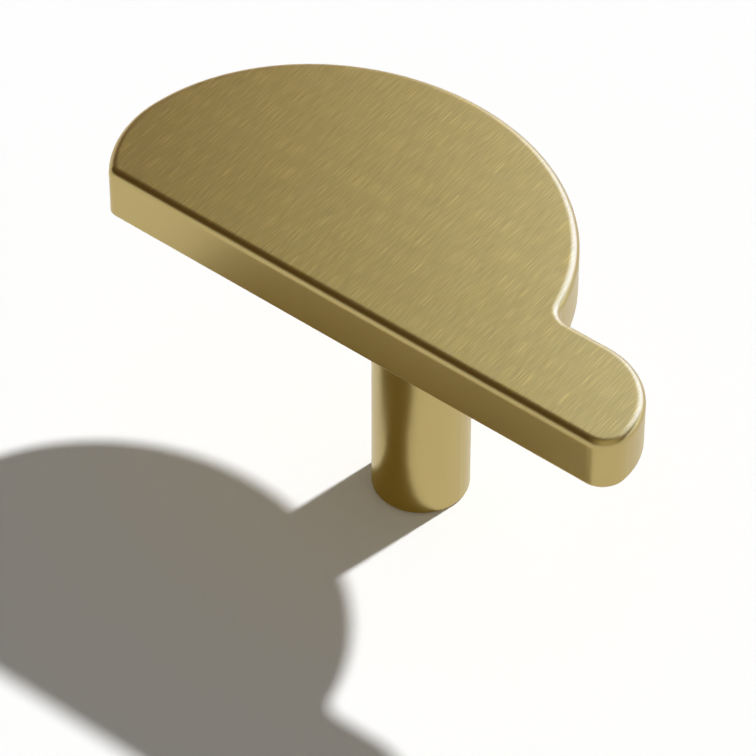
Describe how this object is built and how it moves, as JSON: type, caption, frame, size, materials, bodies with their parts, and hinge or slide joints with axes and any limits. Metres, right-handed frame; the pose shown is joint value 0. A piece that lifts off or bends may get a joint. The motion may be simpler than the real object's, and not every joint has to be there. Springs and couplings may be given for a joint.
{
  "type": "cabinet knob",
  "caption": "One-piece solid brass cabinet knob: a flat cloud-shaped head with a straight edge, standing on a round stem with a tapped foot.",
  "frame": {"origin": "centre of the stem's foot, on the plane where the foot meets the door or drawer front", "axes": "+Z along the stem, out from the door to the head's front face; +X along the head's straight edge, towards the lobe; +Y from the straight edge towards the crown of the dome"},
  "size_m": [0.0645, 0.0305, 0.035],
  "materials": {
    "brass": "satin, brushed on the front face, unlacquered"
  },
  "bodies": {
    "root": {"knob": "brass"}
  },
  "joints": []
}
